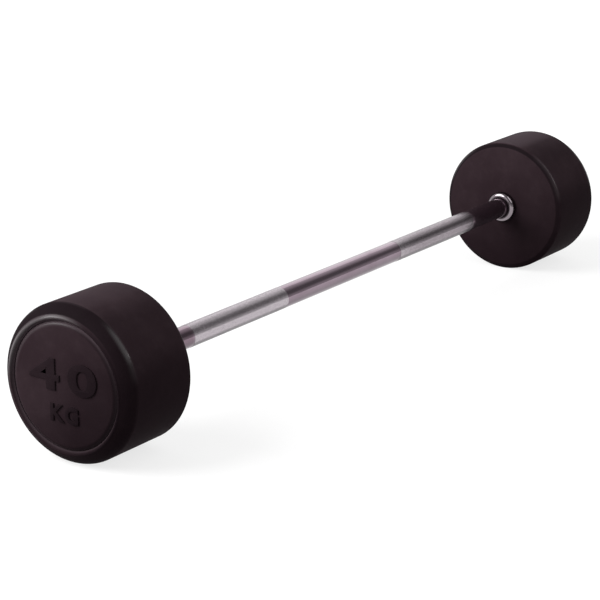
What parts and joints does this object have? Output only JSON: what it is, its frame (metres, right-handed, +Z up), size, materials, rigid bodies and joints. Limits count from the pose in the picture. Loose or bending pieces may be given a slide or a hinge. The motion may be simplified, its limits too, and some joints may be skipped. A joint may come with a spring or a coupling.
{
  "type": "fixed barbell",
  "caption": "Fixed-weight barbell: a straight chromed bar with knurled grips and chromed collars between round iron heads that are covered in moulded black rubber.",
  "frame": {"origin": "the middle of the bar, on its axis", "axes": "+X along the bar to the right head, +Z up, and the marks on both end caps stand upright along +Z"},
  "size_m": [1.164, 0.2, 0.2],
  "materials": {
    "chrome": "bright chromium plate, knurled at the grips",
    "rubber": "moulded rubber, satin brown-black",
    "cast_iron": "as cast, turned at the bore and the pocket",
    "zinc_steel": "bright zinc plate",
    "black_steel": "black oxide"
  },
  "bodies": {
    "root": {"bar": "chrome", "collar_left": "chrome", "head_core_left": "cast_iron", "rubber_casing_left": "rubber", "flat_washer_left": "zinc_steel", "spring_washer_left": "zinc_steel", "end_screw_left": "black_steel", "end_cap_left": "rubber", "lock_pin_left_1": "zinc_steel", "lock_pin_left_2": "zinc_steel", "collar_right": "chrome", "head_core_right": "cast_iron", "rubber_casing_right": "rubber", "flat_washer_right": "zinc_steel", "spring_washer_right": "zinc_steel", "end_screw_right": "black_steel", "end_cap_right": "rubber", "lock_pin_right_1": "zinc_steel", "lock_pin_right_2": "zinc_steel"}
  },
  "joints": []
}
